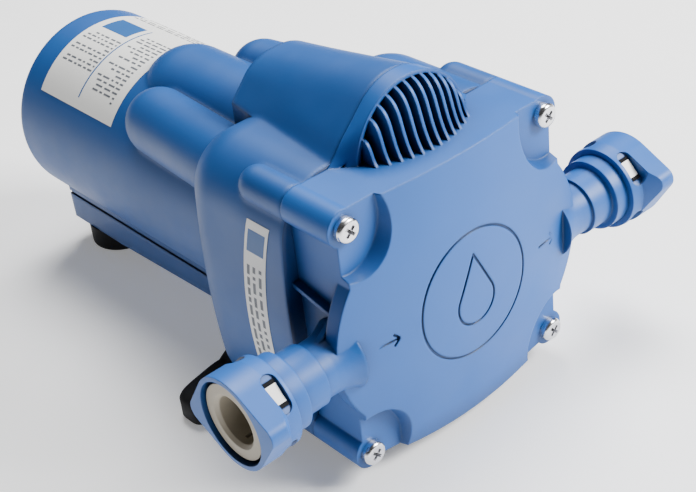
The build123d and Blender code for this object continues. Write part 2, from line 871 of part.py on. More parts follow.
# Wide rubber foot under the rear end
with BuildPart() as rear_foot:
    with BuildSketch(Plane(origin=(0, face_y + rear_foot_back, 0))):
        SlotOverall(rear_foot_length, rear_foot_width)
    extrude(amount=axis_height - skirt_drop)
    fillet(rear_foot.faces().sort_by(Axis.Z)[0].edges(), foot_edge_r)
    for side in (-1, 1):
        with Locations((side * rear_foot_peg_spread / 2, face_y + rear_foot_back, axis_height - skirt_drop)):
            Cylinder(rear_foot_peg_r, rear_foot_peg_height, align=low)
write(rear_foot, "rear_foot")

# Outer sleeve of the port with two grip ears and four latch pockets
with BuildPart() as outlet_collar:
    with BuildSketch(square_to_port(collar_start_x)):
        ear_spots = []
        for ear_turn in (-ear_tilt, 180 - ear_tilt):
            ear_spots.append((ear_offset * cos(radians(ear_turn)), ear_offset * sin(radians(ear_turn))))
        Circle(collar_waist_r)
        with Locations(*ear_spots):
            Circle(ear_tip_r)
        make_hull()
    extrude(amount=mouth_x - collar_start_x)
    with BuildSketch(port_profile):
        with BuildLine():
            Polyline(
                (collar_start_x, 0),
                (collar_start_x, collar_start_r),
                (collar_waist_x, collar_waist_r),
                (ear_full_x, ear_offset + ear_tip_r + overrun),
                (mouth_x, ear_offset + ear_tip_r + overrun),
                (mouth_x, 0),
                (collar_start_x, 0),
            )
        make_face()
    revolve(axis=port_axis, mode=Mode.INTERSECT)
    with BuildSketch(port_profile):
        profile(collar_start_x - overrun, socket_end_x, 0, socket_r)
        profile(socket_end_x - overrun, mouth_floor_x + overrun, 0, cartridge_bore_r)
        profile(mouth_floor_x, mouth_x + overrun, 0, collar_waist_r - mouth_wall)
    revolve(axis=port_axis, mode=Mode.SUBTRACT)
    for angle in window_angles:
        pocket_plane = port_radial(angle).offset(pocket_floor_r)
        with BuildSketch(pocket_plane):
            SlotOverall(pocket_width, pocket_length, rotation=90)
        extrude(amount=ear_offset, mode=Mode.SUBTRACT)
        with Locations(port_radial(angle)):
            Box(window_length, window_width, pocket_floor_r + overrun, align=low, mode=Mode.SUBTRACT)
write_pair(outlet_collar, "outlet_collar", "inlet_collar")

# Latch cartridge inside the socket, with four white tabs in the windows
with BuildPart() as outlet_cartridge:
    with BuildSketch(port_profile):
        profile(cartridge_start_x, socket_end_x, 0, socket_bore_r)
    revolve(axis=port_axis)
    with Locations(*[port_radial(angle) for angle in window_angles]):
        Box(
            window_length - touch_gap * 2,
            window_width - touch_gap * 2,
            tab_top_r,
            align=low,
        )
    with BuildSketch(port_profile):
        profile(cartridge_start_x - overrun, socket_end_x + overrun, 0, cartridge_bore_r)
    revolve(axis=port_axis, mode=Mode.SUBTRACT)
write_pair(outlet_cartridge, "outlet_cartridge", "inlet_cartridge")

# Toothed steel ring that grips the pipe
with BuildPart() as outlet_grab_ring:
    with BuildSketch(square_to_port(grab_ring_x)):
        Circle(socket_bore_r)
        Circle(grab_rim_r, mode=Mode.SUBTRACT)
        with PolarLocations(grab_rim_r - grab_tooth_length / 2 + touch_gap * 4, grab_teeth):
            Rectangle(grab_tooth_length, grab_tooth_width)
    extrude(amount=grab_ring_thick)
write_pair(outlet_grab_ring, "outlet_grab_ring", "inlet_grab_ring")

# Pipe seal
seal_x = seal_seat_x + o_ring_cord_r
with BuildPart() as outlet_o_ring:
    with BuildSketch(port_profile):
        with Locations((seal_x, pipe_r + pipe_clearance + o_ring_cord_r)):
            Circle(o_ring_cord_r)
    revolve(axis=port_axis)
write_pair(outlet_o_ring, "outlet_o_ring", "inlet_o_ring")

# Release collet that slides in the socket
with BuildPart() as outlet_collet:
    with BuildSketch(port_profile):
        profile(collet_start_x, collet_end_x, pipe_r + pipe_clearance, collet_tube_r)
        profile(collet_end_x - collet_flange_thick, collet_end_x, pipe_r + pipe_clearance, collet_flange_r)
    revolve(axis=port_axis)
    bore_rim = outlet_collet.faces().sort_by(Axis.X)[-1].edges().sort_by(SortBy.RADIUS)[0]
    chamfer(bore_rim, collet_lip)
    with Locations(*[square_to_port(collet_start_x).rotated((0, 0, turn)) for turn in (0, 90)]):
        Box(
            collet_slot_width,
            collet_flange_r * 2,
            collet_slot_end_x - collet_start_x,
            align=low,
            mode=Mode.SUBTRACT,
        )
write_pair(outlet_collet, "outlet_collet", "inlet_collet")

# Valve plate with three pumping pockets and the seats of its valves
pocket_spots = []
for turn in (60, 180, 300):
    pocket_spots.append((piston_circle_r * cos(radians(turn)), piston_circle_r * sin(radians(turn))))
outlet_spots = []
for turn in (60, 180, 300):
    outlet_spots.append((outlet_hole_circle_r * cos(radians(turn)), outlet_hole_circle_r * sin(radians(turn))))
pocket_floor = valve_plate_back - chamber_pocket_depth
with BuildPart() as valve_plate:
    with Locations(across(valve_plate_back)):
        Cylinder(stack_r, valve_plate_back - valve_plate_front, align=low)
    with BuildSketch(across(valve_plate_back)):
        with Locations(*pocket_spots):
            Circle(chamber_pocket_r)
    extrude(amount=chamber_pocket_depth, mode=Mode.SUBTRACT)
    with BuildSketch(across(valve_plate_back)):
        with Locations(*outlet_spots):
            Circle(valve_hole_r)
        with Locations((0, 0), *pocket_spots):
            Circle(valve_stem_r + touch_gap)
        for spot in pocket_spots:
            with Locations(spot):
                with PolarLocations(valve_hole_circle_r, valve_holes):
                    Circle(valve_hole_r)
    extrude(amount=valve_plate_back - valve_plate_front, mode=Mode.SUBTRACT)
write(valve_plate, "valve_plate")

# Three rubber inlet valves inside the pockets
with BuildPart() as inlet_valves:
    with BuildSketch(across(pocket_floor + inlet_valve_thick)):
        with Locations(*pocket_spots):
            Circle(inlet_valve_r)
    extrude(amount=inlet_valve_thick)
    with BuildSketch(across(pocket_floor)):
        with Locations(*pocket_spots):
            Circle(valve_stem_r)
    extrude(amount=pocket_floor - valve_plate_front + inlet_valve_thick)
write(inlet_valves, "inlet_valves")

# Rubber outlet valve over the middle holes
with BuildPart() as outlet_valve:
    with Locations(across(valve_plate_front)):
        Cylinder(outlet_valve_r, outlet_valve_thick, align=low)
    with Locations(across(valve_plate_front)):
        Cylinder(valve_stem_r, pocket_floor - valve_plate_front, align=(Align.CENTER, Align.CENTER, Align.MAX))
write(outlet_valve, "outlet_valve")

# Rubber seal between the outlet wall of the cover and the valve plate
with BuildPart() as valve_seal:
    with BuildSketch(across(valve_plate_front)):
        keyhole()
    extrude(amount=valve_seal_thick)
write(valve_seal, "valve_seal")

# Rubber diaphragm, with a moulded cup at each piston
diaphragm_back = valve_plate_back + diaphragm_thick
pivot_back = valve_plate_back + diaphragm_thick / 2
tilt_slope = sin(radians(swash_angle))
with BuildPart() as diaphragm:
    with Locations(across(diaphragm_back)):
        Cylinder(stack_r, diaphragm_thick, align=low)
    for spot in pocket_spots:
        pad_back = pivot_back - spot[1] * tilt_slope + diaphragm_pad_thick / 2
        cup_start = min(valve_plate_back, pad_back - diaphragm_pad_thick)
        cup_end = max(diaphragm_back, pad_back)
        with BuildSketch(across(cup_end)):
            with Locations(spot):
                Circle(diaphragm_roll_r)
        extrude(amount=cup_end - cup_start)
        with BuildSketch(across(cup_end + overrun)):
            with Locations(spot):
                Circle(diaphragm_cup_r)
        extrude(amount=cup_end + overrun - pad_back, mode=Mode.SUBTRACT)
        with BuildSketch(across(pad_back - diaphragm_pad_thick)):
            with Locations(spot):
                Circle(diaphragm_cup_r)
        extrude(amount=chamber_pocket_depth, mode=Mode.SUBTRACT)
        with BuildSketch(across(cup_end + overrun)):
            with Locations(spot):
                Circle(diaphragm_hole_r)
        extrude(amount=chamber_pocket_depth, mode=Mode.SUBTRACT)
write(diaphragm, "diaphragm")

# Plate that clamps the diaphragm
plate_back = diaphragm_back + diaphragm_plate_thick
with BuildPart() as diaphragm_plate:
    with Locations(across(plate_back)):
        Cylinder(stack_r, diaphragm_plate_thick, align=low)
    with BuildSketch(across(plate_back)):
        with Locations(*pocket_spots):
            Circle(chamber_pocket_r)
    extrude(amount=diaphragm_plate_thick, mode=Mode.SUBTRACT)
write(diaphragm_plate, "diaphragm_plate")

# Frame of the wobbling parts: tilted about the middle of the diaphragm
pivot = Vector(0, face_y + pivot_back, axis_height)
tilt_direction = Vector(0, cos(radians(swash_angle)), tilt_slope)
wobble_frame = Plane(origin=pivot, x_dir=(-1, 0, 0), z_dir=tilt_direction)
wobble_axis = Axis(pivot, tilt_direction)
wobble_profile = Plane(origin=pivot, x_dir=tilt_direction, z_dir=(1, 0, 0))
piston_spots = [(-spot[0], spot[1]) for spot in pocket_spots]

# Wobble plate with its three piston stalks and the bearing seat
with BuildPart() as wobble_plate:
    with BuildSketch(wobble_frame.offset(wobble_web_front)):
        Circle(wobble_hub_r)
        with Locations(*piston_spots):
            Circle(wobble_arm_r)
        make_hull()
    extrude(amount=wobble_web_back - wobble_web_front)
    with BuildSketch(wobble_frame.offset(piston_cap_gap / 2)):
        with Locations(*piston_spots):
            Circle(piston_stalk_r)
    extrude(amount=wobble_web_front)
    with BuildSketch(wobble_profile):
        profile(wobble_web_front, wobble_hub_end, 0, wobble_hub_r)
    revolve(axis=wobble_axis)
    with BuildSketch(wobble_profile):
        profile(wobble_web_back, wobble_hub_end + overrun, 0, wobble_arm_r)
        profile(bearing_front, wobble_hub_end + overrun, 0, bearing_r)
    revolve(axis=wobble_axis, mode=Mode.SUBTRACT)
    with BuildSketch(wobble_frame):
        with Locations(*piston_spots):
            Circle(piston_screw_r)
    extrude(amount=piston_screw_end + overrun, mode=Mode.SUBTRACT)
write(wobble_plate, "wobble_plate")

# Piston heads in front of the diaphragm
head_back = -piston_cap_gap / 2
with BuildPart() as piston_heads:
    with BuildSketch(wobble_frame.offset(head_back)):
        with Locations(*piston_spots):
            Circle(piston_cap_r)
    extrude(amount=-piston_cap_thick)
    fillet(piston_heads.edges().group_by(Axis.Y)[0], piston_screw_head_height / 2)
    with BuildSketch(wobble_frame.offset(head_back - piston_cap_thick)):
        with Locations(*piston_spots):
            Circle(piston_screw_head_r)
    extrude(amount=piston_screw_head_height, mode=Mode.SUBTRACT)
    with BuildSketch(wobble_frame.offset(head_back - piston_cap_thick)):
        with Locations(*piston_spots):
            Circle(piston_screw_r)
    extrude(amount=piston_cap_thick, mode=Mode.SUBTRACT)
write(piston_heads, "piston_heads")

# Screws that clamp the piston heads through the diaphragm
with BuildPart() as piston_screws:
    with BuildSketch(wobble_frame.offset(head_back - piston_cap_thick)):
        with Locations(*piston_spots):
            Circle(piston_screw_head_r)
    extrude(amount=piston_screw_head_height)
    with BuildSketch(wobble_frame.offset(head_back - piston_cap_thick)):
        with Locations(*piston_spots):
            Circle(piston_screw_r)
    extrude(amount=piston_cap_thick + piston_cap_gap / 2 + piston_screw_end)
write(piston_screws, "piston_screws")

# Bearing between the turning hub and the wobble plate
race_gap_r = (bearing_r + bearing_bore_r) / 2
with BuildPart() as wobble_bearing_outer:
    with BuildSketch(wobble_profile):
        profile(bearing_front, bearing_back, bearing_r - bearing_race, bearing_r)
    revolve(axis=wobble_axis)
write(wobble_bearing_outer, "wobble_bearing_outer")
with BuildPart() as wobble_bearing_inner:
    with BuildSketch(wobble_profile):
        profile(bearing_front, bearing_back, bearing_bore_r, bearing_bore_r + bearing_race)
    revolve(axis=wobble_axis)
write(wobble_bearing_inner, "wobble_bearing_inner")
with BuildPart() as wobble_bearing_balls:
    with Locations(wobble_frame.offset((bearing_front + bearing_back) / 2)):
        with PolarLocations(race_gap_r, ball_count):
            Sphere(ball_r)
write(wobble_bearing_balls, "wobble_bearing_balls")

# Hub on the motor shaft, with the tilted pin that drives the wobble plate
with BuildPart() as swash_hub:
    with BuildSketch(motor_profile):
        profile(hub_front, hub_back, 0, hub_r)
    revolve(axis=motor_axis)
    with BuildSketch(wobble_profile):
        profile(bearing_front, hub_front - pivot_back + hub_shoulder_r, 0, bearing_bore_r)
        profile(bearing_back, hub_front - pivot_back + hub_shoulder_r / 2, 0, hub_shoulder_r)
    revolve(axis=wobble_axis)
    with BuildSketch(motor_profile):
        profile(shaft_front, hub_back + overrun, 0, shaft_r)
    revolve(axis=motor_axis, mode=Mode.SUBTRACT)
    with Locations(Plane(origin=(0, face_y + (hub_front + hub_back) / 2, axis_height), z_dir=(0, 0, -1))):
        Cylinder(set_screw_r, hub_r + overrun, align=low, mode=Mode.SUBTRACT)
write(swash_hub, "swash_hub")

# Set screw that locks the hub on the shaft
with BuildPart() as hub_set_screw:
    set_screw_spot = (0, face_y + (hub_front + hub_back) / 2, axis_height - shaft_r)
    with Locations(Plane(origin=set_screw_spot, z_dir=(0, 0, -1))):
        Cylinder(set_screw_r, hub_r - shaft_r - set_screw_r / 2, align=low)
    with Locations(Plane(origin=(0, face_y, axis_height), z_dir=(0, 1, 0))):
        Cylinder(shaft_r, shaft_back, align=low, mode=Mode.SUBTRACT)
write(hub_set_screw, "hub_set_screw")

# Drive housing round the wobble plate
with BuildPart() as drive_housing:
    with BuildSketch(motor_profile):
        profile(plate_back, cover_depth + flange_step, drive_tube_r - drive_wall, stack_r)
        profile(plate_back, drive_plate_back, drive_tube_r - drive_wall, drive_tube_r)
        profile(drive_plate_front, drive_plate_back, shaft_r * 2, drive_tube_r)
    revolve(axis=motor_axis)
    with Locations((0, face_y + bracket_front, axis_height + drive_tube_r - drive_wall)):
        Box(
            bracket_half_width * 2,
            barrel_end - bracket_front - overrun,
            switch_rise - barrel_r - drive_tube_r + drive_wall + bracket_thick,
            align=(Align.CENTER, Align.MIN, Align.MIN),
        )
    with Locations(across(barrel_end, z=switch_rise)):
        Cylinder(barrel_r, barrel_end - bracket_front + overrun, align=low, mode=Mode.SUBTRACT)
    with BuildSketch(across(drive_plate_back)):
        with Locations((-motor_screw_x, 0), (motor_screw_x, 0)):
            Circle(motor_screw_r)
    extrude(amount=drive_plate_back - drive_plate_front, mode=Mode.SUBTRACT)
write(drive_housing, "drive_housing")

# Motor shaft
with BuildPart() as motor_shaft:
    with BuildSketch(motor_profile):
        profile(shaft_front, shaft_back, 0, shaft_r)
    revolve(axis=motor_axis)
    chamfer(motor_shaft.faces().sort_by(Axis.Y)[-1].edges(), shaft_r / 6)
write(motor_shaft, "motor_shaft")

# Laminated core with its winding slots
with BuildPart() as armature_core:
    with BuildSketch(across(core_back)):
        Circle(core_r)
        Circle(shaft_r, mode=Mode.SUBTRACT)
        with PolarLocations(core_r - slot_depth / 2, slot_count):
            Rectangle(slot_depth + overrun, slot_width, mode=Mode.SUBTRACT)
    extrude(amount=core_back - core_front)
write(armature_core, "armature_core")

# Copper windings in the slots and round both ends of the core
with BuildPart() as armature_windings:
    with BuildSketch(across(core_back + overrun)):
        with PolarLocations(core_r - slot_depth / 2, slot_count):
            Rectangle(slot_depth - winding_clearance, slot_width - winding_clearance)
    extrude(amount=core_back - core_front + overrun * 2)
    with BuildSketch(motor_profile):
        profile(core_front - winding_overhang, core_front, winding_root_r, winding_r)
        profile(core_back, winding_back, winding_root_r, winding_r)
    revolve(axis=motor_axis)
write(armature_windings, "armature_windings")

# Commutator with its bars parted by narrow slots
with BuildPart() as commutator:
    with BuildSketch(across(commutator_back)):
        Circle(commutator_r)
        Circle(shaft_r, mode=Mode.SUBTRACT)
        with PolarLocations(commutator_r, slot_count):
            Rectangle(commutator_groove * 2, commutator_groove, mode=Mode.SUBTRACT)
    extrude(amount=commutator_back - commutator_front)
write(commutator, "commutator")

# Steel motor can
bell_front = drive_plate_back + bell_thick
bell_rear = can_back - bell_thick
with BuildPart() as motor_can:
    with BuildSketch(motor_profile):
        profile(bell_front, bell_rear, motor_r - can_wall, motor_r)
    revolve(axis=motor_axis)
write(motor_can, "motor_can")

# Two curved magnets inside the can
pole_gap = motor_r * tan(radians(90 - magnet_arc / 2))
with BuildPart() as magnets:
    with BuildSketch(across(core_back + magnet_overhang)):
        Circle(motor_r - can_wall)
        Circle(magnet_bore_r, mode=Mode.SUBTRACT)
        for side in (-1, 1):
            Polygon(
                (0, 0),
                (side * motor_r, pole_gap),
                (side * motor_r, -pole_gap),
                align=None,
                mode=Mode.SUBTRACT,
            )
    extrude(amount=core_back - core_front + magnet_overhang * 2)
write(magnets, "magnets")

# End bells of the motor with their bearing cups
with BuildPart() as front_end_bell:
    with BuildSketch(motor_profile):
        profile(drive_plate_back, bell_front, shaft_r + overrun, motor_r)
        profile(bell_front, bell_front + bell_spigot, shaft_r + overrun, motor_r - can_wall)
        profile(drive_plate_back, drive_plate_back + bearing_cup_length, shaft_r + overrun, bearing_cup_r)
    revolve(axis=motor_axis)
    with BuildSketch(motor_profile):
        profile(drive_plate_back + overrun, drive_plate_back + bearing_cup_length + overrun, 0, bearing_seat_r)
    revolve(axis=motor_axis, mode=Mode.SUBTRACT)
    with BuildSketch(across(bell_front + bell_spigot)):
        with Locations((-motor_screw_x, 0), (motor_screw_x, 0)):
            Circle(motor_screw_r)
    extrude(amount=bell_thick + bell_spigot, mode=Mode.SUBTRACT)
write(front_end_bell, "front_end_bell")
with BuildPart() as rear_end_bell:
    with BuildSketch(motor_profile):
        profile(bell_rear - bell_spigot, bell_rear, bearing_cup_r, motor_r - can_wall)
        profile(bell_rear, can_back, shaft_r + overrun, motor_r)
        profile(bell_rear, bell_rear + bearing_cup_length, shaft_r + overrun, bearing_cup_r)
    revolve(axis=motor_axis)
    with BuildSketch(motor_profile):
        profile(bell_rear - overrun, bell_rear + bearing_cup_length - overrun, 0, bearing_seat_r)
    revolve(axis=motor_axis, mode=Mode.SUBTRACT)
write(rear_end_bell, "rear_end_bell")

# Shaft bearings in the end bells
with BuildPart() as front_bearing:
    with BuildSketch(motor_profile):
        profile(drive_plate_back + overrun, drive_plate_back + overrun + bearing_length, shaft_r + running_gap, bearing_seat_r)
    revolve(axis=motor_axis)
write(front_bearing, "front_bearing")
with BuildPart() as rear_bearing:
    with BuildSketch(motor_profile):
        profile(bell_rear, bell_rear + bearing_length, shaft_r + running_gap, bearing_seat_r)
    revolve(axis=motor_axis)
write(rear_bearing, "rear_bearing")

# Brush card with a box-shaped guide for each brush
brush_middle = brush_front + brush_height / 2
with BuildPart() as brush_holders:
    with BuildSketch(motor_profile):
        profile(brush_card_back - brush_card_thick, brush_card_back, brush_card_hole_r, motor_r - can_wall)
    revolve(axis=motor_axis)
    for side in (-1, 1):
        with Locations((side * holder_start, face_y + brush_front - holder_wall, axis_height)):
            Box(
                holder_end - holder_start,
                brush_card_back - brush_front + holder_wall,
                brush_width + holder_wall * 2,
                align=(Align.MIN if side > 0 else Align.MAX, Align.MIN, Align.CENTER),
            )
        with Locations((side * (holder_end - holder_wall), face_y + brush_middle, axis_height)):
            Box(
                holder_end,
                brush_height + running_gap * 2,
                brush_width + running_gap * 2,
                align=(Align.MAX if side > 0 else Align.MIN, Align.CENTER, Align.CENTER),
                mode=Mode.SUBTRACT,
            )
    with BuildSketch(motor_profile):
        profile(brush_front - brush_height, brush_card_back + overrun, 0, brush_card_hole_r)
    revolve(axis=motor_axis, mode=Mode.SUBTRACT)
write(brush_holders, "brush_holders")

# Carbon brushes and the springs behind them
brush_face_x = commutator_r + running_gap
for side, hand in ((-1, "left"), (1, "right")):
    with BuildPart() as brush:
        with Locations((side * brush_face_x, face_y + brush_middle, axis_height)):
            Box(
                brush_length,
                brush_height,
                brush_width,
                align=(Align.MIN if side > 0 else Align.MAX, Align.CENTER, Align.CENTER),
            )
        with Locations(Plane(origin=(0, face_y, axis_height), z_dir=(0, 1, 0))):
            Cylinder(brush_face_x, shaft_back, align=low, mode=Mode.SUBTRACT)
    write(brush, "brush_" + hand)
    spring_start = brush_face_x + brush_length
    spring_span = holder_end - holder_wall - spring_start
    with BuildPart() as brush_spring:
        with BuildLine():
            coil = Helix(
                (spring_span - brush_wire_r * 2) / brush_spring_turns,
                spring_span - brush_wire_r * 2,
                brush_spring_r - brush_wire_r,
                center=(side * (spring_start + brush_wire_r), face_y + brush_middle, axis_height),
                direction=(side, 0, 0),
            )
        with BuildSketch(Plane(origin=coil @ 0, z_dir=coil % 0)):
            Circle(brush_wire_r - touch_gap / 2)
        sweep()
    write(brush_spring, "brush_spring_" + hand)

# Screws that hold the motor to the drive housing
with BuildPart() as motor_screws:
    with BuildSketch(across(drive_plate_front)):
        with Locations((-motor_screw_x, 0), (motor_screw_x, 0)):
            Circle(motor_screw_head_r)
    extrude(amount=motor_screw_head_height)
    with BuildSketch(across(bell_front)):
        with Locations((-motor_screw_x, 0), (motor_screw_x, 0)):
            Circle(motor_screw_r)
    extrude(amount=bell_front - drive_plate_front)
write(motor_screws, "motor_screws")

# Rubber rings that cushion the motor in the shell
with BuildPart() as motor_cushion_rings:
    with BuildSketch(motor_profile):
        profile(cushion_front, cushion_front + cushion_width, motor_r, motor_bore_r)
        profile(cushion_rear, cushion_rear + cushion_width, motor_r, motor_bore_r)
    revolve(axis=motor_axis)
write(motor_cushion_rings, "motor_cushion_rings")

# Pressure switch: pressure cap with its nozzle
switch_axis = Axis((0, 0, axis_height + switch_rise), (0, 1, 0))
switch_profile = Plane(origin=(0, face_y, axis_height + switch_rise), x_dir=(0, 1, 0), z_dir=(1, 0, 0))
cap_room = switch_front + switch_floor
with BuildPart() as switch_pressure_cap:
    with BuildSketch(switch_profile):
        profile(nozzle_front, switch_front, sense_r, nozzle_r)
        profile(switch_front, cap_room, sense_r, switch_r)
        profile(cap_room, switch_split, switch_r - switch_rim, switch_r)
    revolve(axis=switch_axis)
write(switch_pressure_cap, "switch_pressure_cap")

# Switch diaphragm
with BuildPart() as switch_diaphragm:
    with BuildSketch(switch_profile):
        profile(switch_split, switch_split + switch_diaphragm_thick, 0, switch_r)
    revolve(axis=switch_axis)
write(switch_diaphragm, "switch_diaphragm")

# Spring barrel of the switch with the arms that carry the microswitch
barrel_front = switch_split + switch_diaphragm_thick
with BuildPart() as switch_barrel:
    with BuildSketch(switch_profile):
        profile(barrel_front, barrel_front + barrel_flange, barrel_bore_r, switch_r)
        profile(barrel_front, barrel_end, barrel_bore_r, barrel_r)
    revolve(axis=switch_axis)
    for side in (-1, 1):
        with Locations((side * microswitch_width / 2, face_y + barrel_end, axis_height + switch_rise)):
            Box(
                bracket_thick,
                microswitch_front + microswitch_length / 2 - barrel_end,
                microswitch_height / 2,
                align=(Align.MIN if side > 0 else Align.MAX, Align.MIN, Align.CENTER),
            )
write(switch_barrel, "switch_barrel")

# Threaded ring that sets the switching pressure
with BuildPart() as pressure_adjuster:
    with BuildSketch(switch_profile):
        profile(barrel_end - adjuster_thick, barrel_end, plunger_stem_r + plunger_gap, barrel_bore_r)
    revolve(axis=switch_axis)
write(pressure_adjuster, "pressure_adjuster")

# Plunger that the switch diaphragm pushes
with BuildPart() as switch_plunger:
    with BuildSketch(switch_profile):
        profile(barrel_front, barrel_front + plunger_head_thick, 0, plunger_head_r)
        profile(barrel_front, plunger_end, 0, plunger_stem_r)
    revolve(axis=switch_axis)
write(switch_plunger, "switch_plunger")

# Spring round the plunger stem
spring_front = barrel_front + plunger_head_thick
spring_length = barrel_end - adjuster_thick - spring_front
with BuildPart() as switch_spring:
    with BuildLine():
        coil = Helix(
            (spring_length - switch_spring_wire * 2) / switch_spring_turns,
            spring_length - switch_spring_wire * 2,
            switch_spring_r,
            center=(0, face_y + spring_front + switch_spring_wire, axis_height + switch_rise),
            direction=(0, 1, 0),
        )
    with BuildSketch(Plane(origin=coil @ 0, z_dir=coil % 0)):
        Circle(switch_spring_wire - touch_gap / 2)
    sweep()
write(switch_spring, "switch_spring")

# Microswitch with its terminals
with BuildPart() as microswitch_case:
    with Locations((0, face_y + microswitch_front, axis_height + switch_rise)):
        Box(
            microswitch_width,
            microswitch_length,
            microswitch_height,
            align=(Align.CENTER, Align.MIN, Align.CENTER),
        )
    with Locations(across(microswitch_front, z=switch_rise)):
        Cylinder(
            button_hole_r,
            button_length + switch_travel,
            align=(Align.CENTER, Align.CENTER, Align.MAX),
            mode=Mode.SUBTRACT,
        )
    for spread in (-terminal_spread / 2, terminal_spread / 2):
        with Locations((spread, face_y + microswitch_front + microswitch_length, axis_height + switch_rise)):
            Box(
                terminal_thick,
                terminal_length,
                terminal_width,
                align=(Align.CENTER, Align.MIN, Align.CENTER),
            )
write(microswitch_case, "microswitch_case")

# Button of the microswitch
with BuildPart() as microswitch_button:
    with Locations(across(button_front, z=switch_rise)):
        Cylinder(button_r, button_length, align=(Align.CENTER, Align.CENTER, Align.MAX))
write(microswitch_button, "microswitch_button")

# Grommet for the supply lead, flush with the rear wall
with BuildPart() as cable_grommet:
    with Locations(across(shell_back, z=-grommet_drop)):
        Cylinder(grommet_flange_r, grommet_flange_thick, align=low)
        Cylinder(grommet_hole_r, shell_wall + grommet_flange_thick, align=low)
        Cylinder(grommet_bore_r, shell_wall * 2, align=low, mode=Mode.SUBTRACT)
write(cable_grommet, "cable_grommet")
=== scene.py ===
import json
import math
import random

import bmesh
import bpy
from mathutils import Matrix, Vector


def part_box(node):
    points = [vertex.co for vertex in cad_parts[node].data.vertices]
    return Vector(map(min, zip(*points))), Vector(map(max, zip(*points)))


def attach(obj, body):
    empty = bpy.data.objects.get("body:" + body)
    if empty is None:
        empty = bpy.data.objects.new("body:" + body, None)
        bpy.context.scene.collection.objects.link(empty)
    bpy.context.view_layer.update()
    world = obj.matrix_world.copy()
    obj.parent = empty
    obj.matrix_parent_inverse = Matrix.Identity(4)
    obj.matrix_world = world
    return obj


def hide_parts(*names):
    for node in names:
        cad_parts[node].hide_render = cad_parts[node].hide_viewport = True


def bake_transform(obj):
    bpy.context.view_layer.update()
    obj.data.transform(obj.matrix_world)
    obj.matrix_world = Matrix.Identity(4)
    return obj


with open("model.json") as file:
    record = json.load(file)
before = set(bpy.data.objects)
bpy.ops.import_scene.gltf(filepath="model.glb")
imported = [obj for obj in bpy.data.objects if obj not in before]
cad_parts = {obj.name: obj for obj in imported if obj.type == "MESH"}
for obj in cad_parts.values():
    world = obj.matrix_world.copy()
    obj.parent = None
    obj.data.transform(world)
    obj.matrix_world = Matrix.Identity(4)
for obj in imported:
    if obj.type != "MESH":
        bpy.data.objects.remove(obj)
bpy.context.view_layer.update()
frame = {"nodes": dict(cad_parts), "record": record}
MM = 0.001

# Lengths are in millimetres, apart from those of the floor, the lights and the camera, in metres.
# The motor axis over the floor, the lug faces at the front, and the motor shell's radius
AXIS_Z = 52.4
FACE_Y = -90.545
SHELL_R = 36.0
# How far labels and their print stand off what they are stuck to
PROUD = 0.12
INK_PROUD = 0.16

# Linear colours. SHADED_BLUE is the same blue plastic as the cover and the ports, painted a shade
# darker as painted shade on the housing.
BLUE = (0.012, 0.104, 0.385)
SHADED_BLUE = (0.011, 0.080, 0.290)
STONE = (0.36, 0.32, 0.25)
WHITE = (0.78, 0.77, 0.72)
NATURAL = (0.62, 0.60, 0.53)
BLACK = (0.012, 0.012, 0.013)
PAPER = (0.80, 0.80, 0.78)
INK = (0.12, 0.13, 0.15)
BAND_INK = (0.02, 0.10, 0.30)
BRIGHT = (0.72, 0.72, 0.74)
STEEL = (0.42, 0.43, 0.45)
IRON = (0.10, 0.10, 0.105)
COPPER = (0.62, 0.26, 0.11)
ZINC = (0.50, 0.51, 0.53)
CARBON = (0.03, 0.03, 0.032)
FLOOR_GREY = (0.93, 0.93, 0.93)

# Moulded pieces: scales of the noise that moves colour and gloss, how far the roughness swings
# to either side, and how strong the bump is
DRIFT_SCALE = 22
GLOSS_SCALE = 70
ROUGH_LESS, ROUGH_MORE = 0.05, 0.06
BUMP = 0.35
# Metal pieces: the same, and the grain's scale and depth and how far the colour drifts
METAL_DRIFT_SCALE = 120
METAL_GLOSS_SCALE = 400
METAL_ROUGH_LESS, METAL_ROUGH_MORE = 0.08, 0.1
METAL_BUMP = 0.2
METAL_GRAIN_SCALE = 1500
METAL_GRAIN_DEPTH = 0.02
METAL_SPREAD = 0.08
# Where the noise counts as low and as high, for the gloss and for the colour
NOISE_LOW, NOISE_HIGH = 0.25, 0.75
RAMP_LOW, RAMP_HIGH = 0.3, 0.7
# Samples of the nodes that look about them, for soft edges and for the painted shade in hollows
NODE_SAMPLES = 6
# Roughness and edge softening of the blue plastic, and how wide a gap counts as a hollow that gets
# painted shade
BLUE_ROUGH = 0.44
HOUSING_EDGE = 2.6
COVER_EDGE = 0.9
HOLLOW_SHADE_REACH = 14


def shader(name):
    """A new material with its node tree and its Principled shader."""
    mat = bpy.data.materials.new(name)
    mat.use_nodes = True
    tree = mat.node_tree
    bsdf = tree.nodes["Principled BSDF"]
    return mat, tree, bsdf


def noise(tree, scale, detail=3.0, stretch=None):
    """Noise in object space, drawn out along one axis where stretch is given."""
    coords = tree.nodes.new("ShaderNodeTexCoord")
    source = coords.outputs["Object"]
    if stretch:
        mapping = tree.nodes.new("ShaderNodeMapping")
        mapping.inputs["Scale"].default_value = stretch
        tree.links.new(source, mapping.inputs["Vector"])
        source = mapping.outputs["Vector"]
    node = tree.nodes.new("ShaderNodeTexNoise")
    node.inputs["Scale"].default_value = scale
    node.inputs["Detail"].default_value = detail
    tree.links.new(source, node.inputs["Vector"])
    return node.outputs["Fac"]


def ramp_colour(tree, factor, colour, spread):
    """Colour that drifts a little, darker to lighter, with the factor."""
    ramp = tree.nodes.new("ShaderNodeValToRGB")
    darker, lighter = ramp.color_ramp.elements
    darker.position = RAMP_LOW
    lighter.position = RAMP_HIGH
    darker.color = (*[c * (1 - spread) for c in colour], 1)
    lighter.color = (*[min(1, c * (1 + spread)) for c in colour], 1)
    tree.links.new(factor, ramp.inputs["Fac"])
    return ramp.outputs["Color"]


